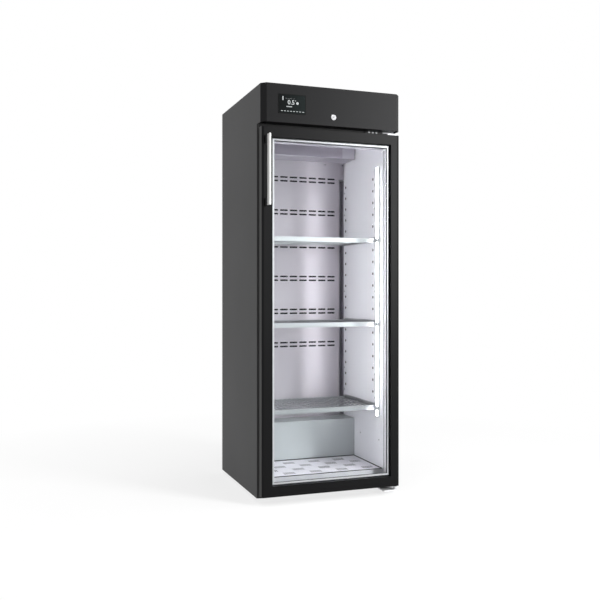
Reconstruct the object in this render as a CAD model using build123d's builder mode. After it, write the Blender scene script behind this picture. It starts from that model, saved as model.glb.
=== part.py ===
from build123d import *
import math
import os

os.makedirs("parts", exist_ok=True)

# Overall sizes, in millimetres. The door and fascia share one front plane.
body_width = 720
body_depth = 738
body_height = 1960
foot_height = 20

# Sheet metal and the gaps between pieces
skin = 1.2
liner_sheet = 1.2
base_sheet = 2
rear_recess = 2
part_gap = 0.3
overrun = 6

# Setbacks from the front plane, insulated walls, and depths measured back from the liner
face_setback = 66
shell_setback = 78
back_wall = 46
side_wall = 55
duct_cavity = 115
housing_overhang = 153
hump_depth = 249

# Heights above the underside of the base, and drops below the roof
floor_rise = 66
hump_rise = 293
hump_wall = 45
header_drop = 80
header_depth = 45
ceiling_drop = 160
top_foam = 50
housing_rise = 2
flare = 7
flare_depth = 18

# Door and its glass
door_gap_below = 20
door_gap_above = 22
door_right_inset = 9
door_depth = 41
stile_handle_width = 52.5
stile_hinge_width = 43.5
rail_top_width = 48
rail_bottom_width = 50
door_edge_width = 11
door_edge_depth = 3
frame_wall = 3
glass_seat_depth = 12
glass_seat_width = 12
glass_edge_gap = 2
pane = 4
spacer_depth = 14
spacer_border = 5.5
spacer_width = 8
bead_depth = 3
carrier_depth = 11
carrier_inset = 8
gasket_width = 18
gasket_edge = 15
hinge_axis_inset = 11
hinge_axis_setback = 20
pin_radius = 5
pin_clearance = 0.05

# Handle
handle_length = 330
handle_thickness = 8
handle_blade = 34
handle_standoff = 30
handle_inset = 17
handle_drop = 43.5
post_height = 35

# Fascia, display and lock
fascia_height = 182
fascia_chamfer = 23.5
fascia_sheet = 1.5
display_width = 138
display_height = 92
display_inset = 80.5
display_rise = 43
lock_offset = 1
lock_rise = 42
cam_reach = 72

# Shelves and their supports
shelf_names = ("top", "middle", "bottom")
shelf_hole_radius = 4
shelf_hole_pitch = 61
first_hole_rise = 404.5
hole_top_gap = 120
front_holes_setback = 205
rear_holes_gap = 14
shelf_side_gap = 12
shelf_front_setback = 165
shelf_rear_gap = 22
shelf_lip = 23
shelf_drop = 4
rail_sheet = 1.5
rail_leg = 14
rail_rise = 26

# Light bars
led_setback = 122
led_width = 24
led_depth = 10
led_bottom_rise = 350
led_top_drop = 83

# Positions that follow from the sizes above
half = body_width / 2
liner_half_width = half - side_wall
handle_reach = handle_standoff + handle_blade
front = (handle_reach - body_depth) / 2
back = front + body_depth
rear_y = back - rear_recess
base = foot_height
roof = base + body_height
inner_half = half - skin
face_y = front + face_setback
shell_y = front + shell_setback
header_y = face_y + header_depth
liner_back_y = rear_y - back_wall
duct_y = liner_back_y - duct_cavity
housing_y = duct_y - housing_overhang
hump_y = liner_back_y - hump_depth
fascia_bottom = roof - fascia_height
door_bottom = base + door_gap_below
door_top = fascia_bottom - door_gap_above
floor_z = base + floor_rise
hump_z = base + hump_rise
opening_top = fascia_bottom - header_drop
housing_z = opening_top + housing_rise
ceiling_z = roof - ceiling_drop
foam_top = ceiling_z + liner_sheet + top_foam
service_top = hump_z - hump_wall
service_y = hump_y + liner_sheet + hump_wall
liner_outer = liner_half_width + liner_sheet
mouth_half = liner_outer + flare
sides = {"left": -1, "right": 1}


def span(middle, size):
    """The two ends of a size that is centred on a place."""
    return (middle - size / 2, middle + size / 2)


def mirrored(side, near, far):
    """A span along X that lies as far left or right of the middle."""
    return tuple(sorted((side * near, side * far)))


def slab(xs, ys, zs, mode=Mode.ADD):
    """Add or cut a block that runs from one place to another each way."""
    middle = [(low + high) / 2 for low, high in (xs, ys, zs)]
    with Locations(tuple(middle)):
        Box(xs[1] - xs[0], ys[1] - ys[0], zs[1] - zs[0], mode=mode)


def rod(centre, radius, length, along="Z", mode=Mode.ADD):
    """Add or cut a round bar that is centred on a point."""
    turn = {"X": (0, 90, 0), "Y": (90, 0, 0), "Z": (0, 0, 0)}[along]
    with Locations(tuple(centre)):
        Cylinder(radius, length, rotation=turn, mode=mode)


def finish(piece, name):
    """Label a finished piece and write it to its own file."""
    piece.part.label = name
    export_step(piece.part, f"parts/{name}.step")


first_hole_z = base + first_hole_rise
shelf_hole_count = int((housing_z - hole_top_gap - first_hole_z) / shelf_hole_pitch) + 1
hole_heights = [first_hole_z + step * shelf_hole_pitch for step in range(shelf_hole_count)]
hole_columns = (front + front_holes_setback, duct_y - rear_holes_gap)
shelf_step = (shelf_hole_count + 1) // len(shelf_names)
shelf_tops = [hole_heights[shelf_step * level] - shelf_drop for level in (2, 1, 0)]
shelf_front = front + shelf_front_setback
shelf_back = duct_y - shelf_rear_gap
shelf_half_width = liner_half_width - shelf_side_gap

# Painted side panels, with a flange folded in behind the front frame
flange_width = 14
for name, side in sides.items():
    with BuildPart() as side_panel:
        with BuildSketch(Plane.YZ.offset(side * half - (skin if side > 0 else 0))):
            with BuildLine():
                Polyline(
                    (shell_y, base), (back, base), (back, roof),
                    (front + fascia_chamfer, roof), (front + fascia_chamfer, fascia_bottom),
                    (shell_y, fascia_bottom), close=True,
                )
            make_face()
        extrude(amount=skin)
        slab(mirrored(side, inner_half - flange_width, inner_half), (shell_y, shell_y + skin),
             (base + base_sheet, fascia_bottom))
    finish(side_panel, f"side_panel_{name}")

# Roof panel, cut back behind the chamfered fascia
chamfer_shift = fascia_sheet * (math.sqrt(2) - 1)
inner_shift = fascia_sheet * math.sqrt(2)
roof_corner_y = inner_half - half + front + fascia_chamfer + inner_shift
with BuildPart() as roof_panel:
    with BuildSketch(Plane.XY.offset(roof - skin)):
        with BuildLine():
            Polyline(
                (inner_half, rear_y - skin), (-inner_half, rear_y - skin),
                (-inner_half, roof_corner_y),
                (-half + fascia_chamfer + chamfer_shift, front + fascia_sheet),
                (half - fascia_chamfer - chamfer_shift, front + fascia_sheet),
                (inner_half, roof_corner_y), close=True,
            )
        make_face()
    extrude(amount=skin)
finish(roof_panel, "roof_panel")

# Back panel above the machine space
with BuildPart() as back_panel:
    slab((-inner_half, inner_half), (rear_y - skin, rear_y), (service_top, roof))
finish(back_panel, "back_panel")

# Vented grille over the machine space, with a port for the power inlet
vent_length = 90
vent_height = 6
vent_pitch = 16
vent_rows = 9
vent_column_pitch = 108
vent_margin = 65
vent_shift = 40
grille_edge_gap = 1
inlet_width = 48
inlet_height = 28
inlet_inset = 60
inlet_rise = 60
inlet_x = -half + inlet_inset
vent_columns = int(2 * (inner_half - vent_margin) / vent_column_pitch)
grille_z = (base + grille_edge_gap, service_top - grille_edge_gap)
with BuildPart() as back_grille:
    slab((-inner_half, inner_half), (rear_y - skin, rear_y), grille_z)
    with BuildSketch(Plane.XZ.offset(-rear_y + skin)):
        with Locations((vent_shift, sum(grille_z) / 2)):
            with GridLocations(vent_column_pitch, vent_pitch, vent_columns, vent_rows):
                SlotOverall(vent_length, vent_height)
        with Locations((inlet_x, base + inlet_rise)):
            Rectangle(inlet_width, inlet_height)
    extrude(amount=-overrun, both=True, mode=Mode.SUBTRACT)
finish(back_grille, "back_grille")

# Base pan and the four levelling feet under it
foot_inset = 45
front_foot_setback = 165
rear_foot_margin = 55
foot_radius = 19
foot_pad = 12
foot_collar_radius = 8
foot_stud_radius = 5
foot_stud_above = 10
stud_gap = 0.2
foot_xs = (-half + foot_inset, half - foot_inset)
foot_ys = (front + front_foot_setback, rear_y - rear_foot_margin)
foot_places = [(x, y) for x in foot_xs for y in foot_ys]
with BuildPart() as base_pan:
    slab((-inner_half, inner_half), (shell_y, rear_y - skin), (base, base + base_sheet))
    with Locations([(x, y, base) for x, y in foot_places]):
        Cylinder(foot_stud_radius + stud_gap, 2 * overrun, mode=Mode.SUBTRACT)
finish(base_pan, "base_pan")

with BuildPart() as levelling_feet:
    for x, y in foot_places:
        stud_top = base + base_sheet + foot_stud_above
        with BuildSketch(Plane.XY):
            with Locations((x, y)):
                Circle(foot_radius)
        extrude(amount=foot_pad)
        rod((x, y, (foot_pad + base) / 2), foot_collar_radius, base - foot_pad)
        rod((x, y, stud_top / 2), foot_stud_radius, stud_top)
finish(levelling_feet, "levelling_feet")

# Front frame that the gasket seals on; its top rail runs up behind the fascia
frame_inset = 3
frame_base_gap = 4
with BuildPart() as front_frame:
    slab(span(0, body_width - 2 * frame_inset), (face_y, shell_y), (base + frame_base_gap, foam_top))
    slab(span(0, 2 * mouth_half), (face_y - overrun, shell_y + overrun),
         (floor_z - liner_sheet, opening_top + liner_sheet), mode=Mode.SUBTRACT)
finish(front_frame, "front_frame")

# Stainless liner sides, flared at the mouth, with two columns of shelf holes
for name, side in sides.items():
    with BuildPart() as liner_side:
        with BuildSketch(Plane.XY.offset(floor_z)):
            with BuildLine():
                Polyline(
                    (side * liner_half_width, liner_back_y),
                    (side * liner_half_width, face_y + flare_depth),
                    (side * (liner_half_width + flare), face_y),
                    (side * mouth_half, face_y),
                    (side * liner_outer, face_y + flare_depth),
                    (side * liner_outer, liner_back_y), close=True,
                )
            make_face()
        extrude(amount=ceiling_z - floor_z)
        above_mouth = (opening_top, ceiling_z + overrun)
        slab((-half, half), (face_y - overrun, header_y), above_mouth, mode=Mode.SUBTRACT)
        slab((-half, half), (hump_y, liner_back_y + overrun), (floor_z - overrun, hump_z),
             mode=Mode.SUBTRACT)
        with Locations([(side * liner_half_width, y, z) for y in hole_columns for z in hole_heights]):
            Cylinder(shelf_hole_radius, 2 * overrun, rotation=(0, 90, 0), mode=Mode.SUBTRACT)
    finish(liner_side, f"liner_side_{name}")
    if side < 0:
        liner_side_left = liner_side
    else:
        liner_side_right = liner_side

# Refrigerant line routes, used by every sheet that the lines pass through
compressor_x = -half / 2
compressor_setback = 122
compressor_y = service_y + compressor_setback
compressor_radius = 72
compressor_height = 178
compressor_foot = 14
stub_radius = 7
stub_length = 14
line_radius = 5
line_bend = 16
line_spacing = 40
riser_setback = 20
riser_y = rear_y - skin - riser_setback
riser_shift = 132
line_exit_drop = 38
line_gap = 1
riser_x = compressor_x + riser_shift
line_exit_z = ceiling_z - line_exit_drop
line_hole_radius = line_radius + line_gap
riser_xs = (riser_x, riser_x + line_spacing)

with BuildPart() as liner_back:
    slab((-liner_outer, liner_outer), (liner_back_y, liner_back_y + liner_sheet), (hump_z, ceiling_z))
    for x in riser_xs:
        rod((x, liner_back_y, line_exit_z), line_hole_radius, 2 * overrun, "Y", Mode.SUBTRACT)
finish(liner_back, "liner_back")

# Liner ceiling, which steps down to a header over the door opening
with BuildPart() as liner_ceiling:
    slab((-mouth_half, mouth_half), (face_y, header_y), (opening_top, opening_top + liner_sheet))
    slab((-mouth_half, mouth_half), (header_y - liner_sheet, header_y),
         (opening_top, ceiling_z + liner_sheet))
    slab((-liner_outer, liner_outer), (header_y - liner_sheet, liner_back_y + liner_sheet),
         (ceiling_z, ceiling_z + liner_sheet))
finish(liner_ceiling, "liner_ceiling")

with BuildPart() as liner_floor:
    slab((-mouth_half, mouth_half), (face_y, hump_y), (floor_z - liner_sheet, floor_z))
finish(liner_floor, "liner_floor")

# Hump over the machine space: one sheet folded from its front face to its top
with BuildPart() as compressor_hump:
    slab((-liner_outer, liner_outer), (hump_y, hump_y + liner_sheet), (floor_z - liner_sheet, hump_z))
    slab((-liner_outer, liner_outer), (hump_y, liner_back_y + liner_sheet), (hump_z - liner_sheet, hump_z))
finish(compressor_hump, "compressor_hump")

# Foam that fills the walls, with pockets behind the shelf holes and feet
pocket_depth = 12
foot_pocket_radius = 9
with BuildPart() as foam_insulation:
    slab((-inner_half, inner_half), (shell_y, rear_y - skin), (base + base_sheet, foam_top))
    slab((-liner_outer, liner_outer), (shell_y - overrun, hump_y + liner_sheet),
         (floor_z - liner_sheet, opening_top + liner_sheet), mode=Mode.SUBTRACT)
    slab((-liner_outer, liner_outer), (header_y - liner_sheet, liner_back_y + liner_sheet),
         (hump_z - liner_sheet, ceiling_z + liner_sheet), mode=Mode.SUBTRACT)
    slab((-half, half), (service_y, back), (base, service_top), mode=Mode.SUBTRACT)
    for sheet in (liner_floor, liner_ceiling, liner_side_left, liner_side_right):
        add(sheet.part, mode=Mode.SUBTRACT)
    for side in sides.values():
        slab(mirrored(side, inner_half - flange_width, inner_half), (shell_y, shell_y + skin),
             (base + base_sheet, fascia_bottom), mode=Mode.SUBTRACT)
        pocket_x = side * (liner_outer + pocket_depth / 2)
        with Locations([(pocket_x, y, z) for y in hole_columns for z in hole_heights]):
            Cylinder(shelf_hole_radius, pocket_depth, rotation=(0, 90, 0), mode=Mode.SUBTRACT)
    with Locations([(x, y, base + base_sheet) for x, y in foot_places]):
        Cylinder(foot_pocket_radius, 2 * (foot_stud_above + part_gap), mode=Mode.SUBTRACT)
    for x in riser_xs:
        riser_zs = (service_top - overrun, line_exit_z + line_hole_radius)
        slab(span(x, 2 * line_hole_radius), (liner_back_y, riser_y + line_hole_radius), riser_zs,
             mode=Mode.SUBTRACT)
finish(foam_insulation, "foam_insulation")

# Control fascia: a folded sheet with 45 degree corners and tabs inside the side panels
tab_depth = 15
shelf_flange = 56
fascia_top_flange = 12
display_x = -half + display_inset + display_width / 2
display_z = fascia_bottom + display_rise + display_height / 2
display_lip = 4
lock_x = lock_offset
lock_z = fascia_bottom + lock_rise
barrel_radius = 9
barrel_gap = 0.2
cam_setback = 20
cam_thickness = 3
cam_width = 16
cam_slot_gap = 6
cam_swing = math.sqrt(cam_reach ** 2 - lock_rise ** 2)
tab_inner = inner_half - fascia_sheet
with BuildPart() as fascia_panel:
    corner_y = front + fascia_chamfer
    bend_y = tab_inner - half + corner_y + inner_shift
    edge = [
        (half - fascia_chamfer, front), (half, corner_y), (inner_half, corner_y),
        (inner_half, corner_y + tab_depth), (tab_inner, corner_y + tab_depth), (tab_inner, bend_y),
        (half - fascia_chamfer - chamfer_shift, front + fascia_sheet),
    ]
    with BuildSketch(Plane.XY.offset(fascia_bottom)):
        with BuildLine():
            Polyline(*edge, *[(-x, y) for x, y in reversed(edge)], close=True)
        make_face()
    extrude(amount=fascia_height)
    add(roof_panel.part, mode=Mode.SUBTRACT)
    flange_half = half - fascia_chamfer - fascia_sheet
    slab(span(0, 2 * flange_half), (front + fascia_sheet, front + shelf_flange),
         (fascia_bottom, fascia_bottom + fascia_sheet))
    flange_ys = (front + fascia_sheet, front + fascia_sheet + fascia_top_flange)
    slab(span(0, 2 * flange_half), flange_ys, (roof - skin - fascia_sheet, roof - skin))
    slab(span(display_x, display_width - 2 * display_lip), (front - overrun, front + overrun),
         span(display_z, display_height - 2 * display_lip), mode=Mode.SUBTRACT)
    rod((lock_x, front, lock_z), barrel_radius + barrel_gap, 2 * overrun, "Y", Mode.SUBTRACT)
    cam_slot_x = (lock_x - cam_width, lock_x + cam_swing + cam_width)
    cam_slot_y = span(front + cam_setback + cam_thickness / 2, cam_thickness + 2 * cam_slot_gap)
    slab(cam_slot_x, cam_slot_y, (fascia_bottom - overrun, fascia_bottom + overrun), mode=Mode.SUBTRACT)
finish(fascia_panel, "fascia_panel")

# Display: a moulded bezel proud of the fascia, the glass set in it, and its housing behind
bezel_proud = 2
bezel_rim = 3.5
screen_recess = 0.6
bezel_plug = 10
bezel_fillet = 1
control_depth = 26
control_edge = 4
plug_gap = 0.2
screen_thickness = 2.5
bezel_wall = 2
plug_width = display_width - 2 * (display_lip + plug_gap)
plug_height = display_height - 2 * (display_lip + plug_gap)
screen_width = display_width - 2 * bezel_rim
screen_height = display_height - 2 * bezel_rim
screen_y = front - bezel_proud + screen_recess
with BuildPart() as display_bezel:
    slab(span(display_x, display_width), (front - bezel_proud, front), span(display_z, display_height))
    fillet(display_bezel.edges().filter_by(Axis.Y), radius=bezel_fillet)
    slab(span(display_x, plug_width), (front, front + bezel_plug), span(display_z, plug_height))
    slab(span(display_x, plug_width - 2 * bezel_wall), (screen_y, front + bezel_plug + overrun),
         span(display_z, plug_height - 2 * bezel_wall), mode=Mode.SUBTRACT)
    slab(span(display_x, screen_width), (front - bezel_proud - overrun, screen_y + screen_recess),
         span(display_z, screen_height), mode=Mode.SUBTRACT)
finish(display_bezel, "display_bezel")

with BuildPart() as display_screen:
    slab(span(display_x, screen_width - 2 * plug_gap), (screen_y, screen_y + screen_recess),
         span(display_z, screen_height - 2 * plug_gap))
    slab(span(display_x, plug_width - 2 * bezel_wall - 2 * plug_gap),
         (screen_y + screen_recess, screen_y + screen_thickness),
         span(display_z, plug_height - 2 * bezel_wall - 2 * plug_gap))
finish(display_screen, "display_screen")

with BuildPart() as control_box:
    slab(span(display_x, plug_width - 2 * control_edge),
         (front + bezel_plug, front + bezel_plug + control_depth),
         span(display_z, plug_height - 2 * control_edge))
    slab(span(display_x, plug_width), (front + bezel_plug, front + bezel_plug + bezel_wall),
         span(display_z, plug_height))
finish(control_box, "control_box")

# Lock: a fixed barrel with its collar, and a cylinder that turns the cam
collar_radius = 13.5
collar_proud = 3
cylinder_radius = 6.5
cylinder_gap = 0.05
key_face_recess = 0.5
keyway_length = 8
keyway_width = 2.2
keyway_depth = 6
cam_boss_radius = 9
cam_gap = 0.4
with BuildPart() as lock_barrel:
    rod((lock_x, front - collar_proud / 2, lock_z), collar_radius, collar_proud, "Y")
    chamfer(lock_barrel.faces().sort_by(Axis.Y)[0].edges(), length=collar_proud / 3)
    barrel_end = front + cam_setback - cam_gap
    rod((lock_x, (front + barrel_end) / 2, lock_z), barrel_radius, barrel_end - front, "Y")
    rod((lock_x, front, lock_z), cylinder_radius + cylinder_gap, body_depth, "Y", Mode.SUBTRACT)
finish(lock_barrel, "lock_barrel")

with BuildPart() as lock_cylinder:
    cylinder_front = front - collar_proud + key_face_recess
    cylinder_end = front + cam_setback + cam_thickness
    rod((lock_x, (cylinder_front + cylinder_end) / 2, lock_z), cylinder_radius,
        cylinder_end - cylinder_front, "Y")
    slab(span(lock_x, keyway_width), (cylinder_front - overrun, cylinder_front + keyway_depth),
         span(lock_z, keyway_length), mode=Mode.SUBTRACT)
finish(lock_cylinder, "lock_cylinder")

with BuildPart() as lock_cam:
    cam_ys = (front + cam_setback, front + cam_setback + cam_thickness)
    cam_y = sum(cam_ys) / 2
    rod((lock_x, cam_y, lock_z), cam_boss_radius, cam_thickness, "Y")
    slab((lock_x, lock_x + cam_reach), cam_ys, span(lock_z, cam_width))
    rod((lock_x, cam_y, lock_z), cylinder_radius, body_depth, "Y", Mode.SUBTRACT)
    chamfer(lock_cam.edges().filter_by(Axis.Y).sort_by(Axis.X)[-2:], length=cam_width / 4)
finish(lock_cam, "lock_cam")

# Hinge line, shared by the brackets, pins, bushes and door
door_left = -half
door_right = half - door_right_inset
door_back_y = front + door_depth
hinge_x = door_right - hinge_axis_inset
hinge_y = front + hinge_axis_setback
sight_left = door_left + stile_handle_width
sight_right = door_right - stile_hinge_width
sight_bottom = door_bottom + rail_bottom_width
sight_top = door_top - rail_top_width
bush_outer_radius = 8
bush_flange_radius = 11
bush_flange = 2
bush_length = 26
pin_washer_gap = 0.4
pin_collar_radius = 9

# Hinge brackets: a top plate in the gap over the door, and a bottom plate under the base
bracket_sheet = 5
top_bracket_length = 155
bottom_bracket_length = 76
bracket_front_setback = 9
bracket_leg = 44
bracket_rear_setback = 150
bracket_corner = 16
top_plate_low = door_top + bush_flange + pin_washer_gap
top_plate_z = (top_plate_low, top_plate_low + bracket_sheet)
bracket_right = door_right + part_gap
with BuildPart() as hinge_bracket_top:
    with BuildSketch(Plane.XY.offset(top_plate_z[0])):
        with BuildLine():
            top_bracket_left = bracket_right - top_bracket_length
            Polyline(
                (top_bracket_left, face_y), (top_bracket_left, front + shelf_flange),
                (hinge_x - bracket_leg, front + bracket_front_setback),
                (bracket_right - bracket_corner / 2, front + bracket_front_setback),
                (bracket_right, front + bracket_front_setback + bracket_corner / 2),
                (bracket_right, face_y), close=True,
            )
        make_face()
    extrude(amount=bracket_sheet)
    slab((top_bracket_left, bracket_right), (face_y - bracket_sheet, face_y),
         (top_plate_z[0], top_plate_z[0] + bracket_leg))
    rod((hinge_x, hinge_y, top_plate_z[0]), pin_radius, 4 * overrun, "Z", Mode.SUBTRACT)
finish(hinge_bracket_top, "hinge_bracket_top")

with BuildPart() as hinge_bracket_bottom:
    with BuildSketch(Plane.XY.offset(base - bracket_sheet)):
        with BuildLine():
            Polyline(
                (bracket_right - bottom_bracket_length, front + bracket_rear_setback),
                (bracket_right - bottom_bracket_length, front + bracket_front_setback),
                (bracket_right - bracket_corner, front + bracket_front_setback),
                (bracket_right, front + bracket_front_setback + bracket_corner),
                (bracket_right, front + bracket_rear_setback), close=True,
            )
        make_face()
    extrude(amount=bracket_sheet)
    rod((hinge_x, hinge_y, base), pin_radius, 4 * overrun, "Z", Mode.SUBTRACT)
finish(hinge_bracket_bottom, "hinge_bracket_bottom")

with BuildPart() as hinge_pins:
    pin_bottom_zs = (base - bracket_sheet, door_bottom + bush_length - bush_flange)
    pin_top_zs = (door_top - bush_length + bush_flange, top_plate_z[1])
    for low, high in (pin_bottom_zs, pin_top_zs):
        rod((hinge_x, hinge_y, (low + high) / 2), pin_radius, high - low)
    collar_zs = (base, door_bottom - bush_flange - pin_washer_gap)
    rod((hinge_x, hinge_y, sum(collar_zs) / 2), pin_collar_radius, collar_zs[1] - collar_zs[0])
finish(hinge_pins, "hinge_pins")

# Door frame: a folded section with a glass rebate, open at the back, with solid corners
corner_block = 62
keeper_gap = 3
with BuildPart() as door_frame:
    door_xs = (door_left, door_right)
    door_zs = (door_bottom, door_top)
    sight_xs = (sight_left, sight_right)
    sight_zs = (sight_bottom, sight_top)
    rebate_xs = (sight_left - glass_seat_width, sight_right + glass_seat_width)
    rebate_zs = (sight_bottom - glass_seat_width, sight_top + glass_seat_width)
    seat_y = front + glass_seat_depth
    slab(door_xs, (front, door_back_y), door_zs)
    slab(sight_xs, (front - overrun, seat_y + overrun), sight_zs, mode=Mode.SUBTRACT)
    slab(rebate_xs, (seat_y, door_back_y + overrun), rebate_zs, mode=Mode.SUBTRACT)
    channel_ys = (front + frame_wall, door_back_y + overrun)
    for low, high in ((door_left + frame_wall, rebate_xs[0] - frame_wall),
                      (rebate_xs[1] + frame_wall, door_right - frame_wall)):
        slab((low, high), channel_ys, (door_bottom + corner_block, door_top - corner_block),
             mode=Mode.SUBTRACT)
    for low, high in ((door_bottom + frame_wall, rebate_zs[0] - frame_wall),
                      (rebate_zs[1] + frame_wall, door_top - frame_wall)):
        slab((door_left + corner_block, door_right - corner_block), channel_ys, (low, high),
             mode=Mode.SUBTRACT)
    for edge_x, inward in ((door_left, 1), (door_right, -1)):
        with BuildSketch(Plane.XY.offset(door_bottom)):
            with BuildLine():
                Polyline((edge_x, front), (edge_x + inward * door_edge_width, front),
                         (edge_x, front + door_edge_depth), close=True)
            make_face()
        extrude(amount=door_top - door_bottom, mode=Mode.SUBTRACT)
    for low, high in ((door_bottom, door_bottom + bush_length), (door_top - bush_length, door_top)):
        rod((hinge_x, hinge_y, (low + high) / 2), bush_outer_radius, high - low, "Z", Mode.SUBTRACT)
    keeper_swing = math.sqrt(cam_reach ** 2 - (lock_rise + door_gap_above) ** 2)
    keeper_x = (lock_x - cam_width / 2 - keeper_gap, lock_x + keeper_swing + cam_width + keeper_gap)
    keeper_y = span(cam_y, cam_thickness + 2 * keeper_gap)
    slab(keeper_x, keeper_y, (door_top - overrun - frame_wall, door_top + overrun), mode=Mode.SUBTRACT)
finish(door_frame, "door_frame")

# Insulating glass: two panes held apart by a bright spacer
glass_xs = (rebate_xs[0] + glass_edge_gap, rebate_xs[1] - glass_edge_gap)
glass_zs = (rebate_zs[0] + glass_edge_gap, rebate_zs[1] - glass_edge_gap)
outer_ys = (seat_y, seat_y + pane)
inner_ys = (seat_y + pane + spacer_depth, seat_y + 2 * pane + spacer_depth)
with BuildPart() as glass_outer:
    slab(glass_xs, outer_ys, glass_zs)
finish(glass_outer, "glass_outer")

with BuildPart() as glass_inner:
    slab(glass_xs, inner_ys, glass_zs)
finish(glass_inner, "glass_inner")

with BuildPart() as glass_spacer:
    border_xs = (sight_left + spacer_border, sight_right - spacer_border)
    border_zs = (sight_bottom + spacer_border, sight_top - spacer_border)
    bar_xs = (border_xs[0] + spacer_width, border_xs[1] - spacer_width)
    bar_zs = (border_zs[0] + spacer_width, border_zs[1] - spacer_width)
    slab(border_xs, (outer_ys[1], inner_ys[0]), border_zs)
    slab(bar_xs, (front, door_back_y), bar_zs, mode=Mode.SUBTRACT)
finish(glass_spacer, "glass_spacer")

# Inner frame of the door: it closes the folded section, holds the glass and carries the gasket
with BuildPart() as door_inner_frame:
    carrier_xs = (door_left + carrier_inset, hinge_x - part_gap)
    carrier_zs = (door_bottom + carrier_inset, door_top - carrier_inset)
    carrier_y = door_back_y + carrier_depth
    slab(carrier_xs, (door_back_y, carrier_y), carrier_zs)
    bead_xs = (rebate_xs[0] + glass_edge_gap, rebate_xs[1] - glass_edge_gap)
    bead_zs = (rebate_zs[0] + glass_edge_gap, rebate_zs[1] - glass_edge_gap)
    slab(bead_xs, (inner_ys[1], door_back_y), bead_zs)
    slab((sight_left - bead_depth, sight_right + bead_depth), (front, carrier_y + overrun),
         (sight_bottom - bead_depth, sight_top + bead_depth), mode=Mode.SUBTRACT)
finish(door_inner_frame, "door_inner_frame")

# Magnetic gasket: a bellows section round the inner frame
gasket_neck = 10
gasket_overlap = 7
with BuildPart() as door_gasket:
    gasket_xs = (door_left + gasket_edge + carrier_inset, hinge_x - 3 * part_gap)
    gasket_zs = (floor_z - gasket_width - gasket_overlap, opening_top + gasket_width + gasket_overlap)
    gasket_ys = (carrier_y, face_y - part_gap)
    neck_y = sum(gasket_ys) / 2
    slab(gasket_xs, (neck_y, gasket_ys[1]), gasket_zs)
    neck_cut = (gasket_width - gasket_neck) / 2
    slab((gasket_xs[0] + neck_cut, gasket_xs[1] - neck_cut), (gasket_ys[0], neck_y),
         (gasket_zs[0] + neck_cut, gasket_zs[1] - neck_cut))
    slab((gasket_xs[0] + gasket_width, gasket_xs[1] - gasket_width), (neck_y, face_y),
         (gasket_zs[0] + gasket_width, gasket_zs[1] - gasket_width), mode=Mode.SUBTRACT)
    slab((gasket_xs[0] + gasket_width - neck_cut, gasket_xs[1] - gasket_width + neck_cut),
         (carrier_y - overrun, neck_y),
         (gasket_zs[0] + gasket_width - neck_cut, gasket_zs[1] - gasket_width + neck_cut),
         mode=Mode.SUBTRACT)
finish(door_gasket, "door_gasket")

with BuildPart() as hinge_bushes:
    bush_spans = ((door_bottom, 1), (door_top, -1))
    for end, inward in bush_spans:
        rod((hinge_x, hinge_y, end + inward * bush_length / 2), bush_outer_radius, bush_length)
        rod((hinge_x, hinge_y, end - inward * bush_flange / 2), bush_flange_radius, bush_flange)
    rod((hinge_x, hinge_y, (door_bottom + door_top) / 2), pin_radius + pin_clearance, body_height,
        "Z", Mode.SUBTRACT)
finish(hinge_bushes, "hinge_bushes")

# Handle: a flat bright bar stood off the door by two dark posts
handle_x = (door_left + handle_inset, door_left + handle_inset + handle_thickness)
handle_top = door_top - handle_drop
handle_bottom = handle_top - handle_length
handle_fillet = 1
with BuildPart() as handle_bar:
    slab(handle_x, (front - handle_reach, front - handle_standoff), (handle_bottom, handle_top))
    fillet(handle_bar.edges(), radius=handle_fillet)
finish(handle_bar, "handle_bar")

with BuildPart() as handle_posts:
    for low in (handle_bottom + handle_fillet, handle_top - post_height - handle_fillet):
        slab(handle_x, (front - handle_standoff, front), (low, low + post_height))
finish(handle_posts, "handle_posts")

# Slotted duct panel, narrower below to leave a return gap at each side
panel_side_gap = 6
return_gap = 35
notch_drop = 94
slot_length = 45
slot_height = 9
slot_pitch = 55.5
slot_row_gap = 20.7
slot_pair_pitch = 181
slot_top_margin = 60
first_pair_rise = 693
panel_half_width = liner_half_width - panel_side_gap
panel_narrow_half = liner_half_width - return_gap
notch_z = housing_z - notch_drop
first_pair_z = base + first_pair_rise
slot_columns = int(2 * panel_narrow_half / slot_pitch)
slot_pairs = int((housing_z - slot_top_margin - first_pair_z) / slot_pair_pitch) + 1
slot_middle = first_pair_z + (slot_pairs - 1) * slot_pair_pitch / 2
with BuildPart() as duct_panel:
    slab((-panel_narrow_half, panel_narrow_half), (duct_y, duct_y + liner_sheet), (hump_z, housing_z))
    slab((-panel_half_width, panel_half_width), (duct_y, duct_y + liner_sheet),
         (notch_z, housing_z))
    with BuildSketch(Plane.XZ.offset(-duct_y)):
        with Locations((0, slot_middle)):
            with GridLocations(slot_pitch, slot_pair_pitch, slot_columns, slot_pairs):
                with Locations((0, -slot_row_gap / 2), (0, slot_row_gap / 2)):
                    SlotOverall(slot_length, slot_height)
    extrude(amount=overrun, both=True, mode=Mode.SUBTRACT)
finish(duct_panel, "duct_panel")

# Dark moulded channels that carry the return air behind the side gaps
channel_wall = 2
channel_recess = 14
channel_depth = 46
with BuildPart() as return_channels:
    for side in sides.values():
        outer_x = mirrored(side, panel_narrow_half + part_gap, liner_half_width - part_gap)
        inner_x = (outer_x[0] + channel_wall, outer_x[1] - channel_wall)
        channel_y = (duct_y + channel_recess, duct_y + channel_recess + channel_depth)
        channel_z = (hump_z, notch_z)
        slab(outer_x, channel_y, channel_z)
        slab(inner_x, (channel_y[0] - overrun, channel_y[1] - channel_wall), channel_z,
             mode=Mode.SUBTRACT)
finish(return_channels, "return_channels")

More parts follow.
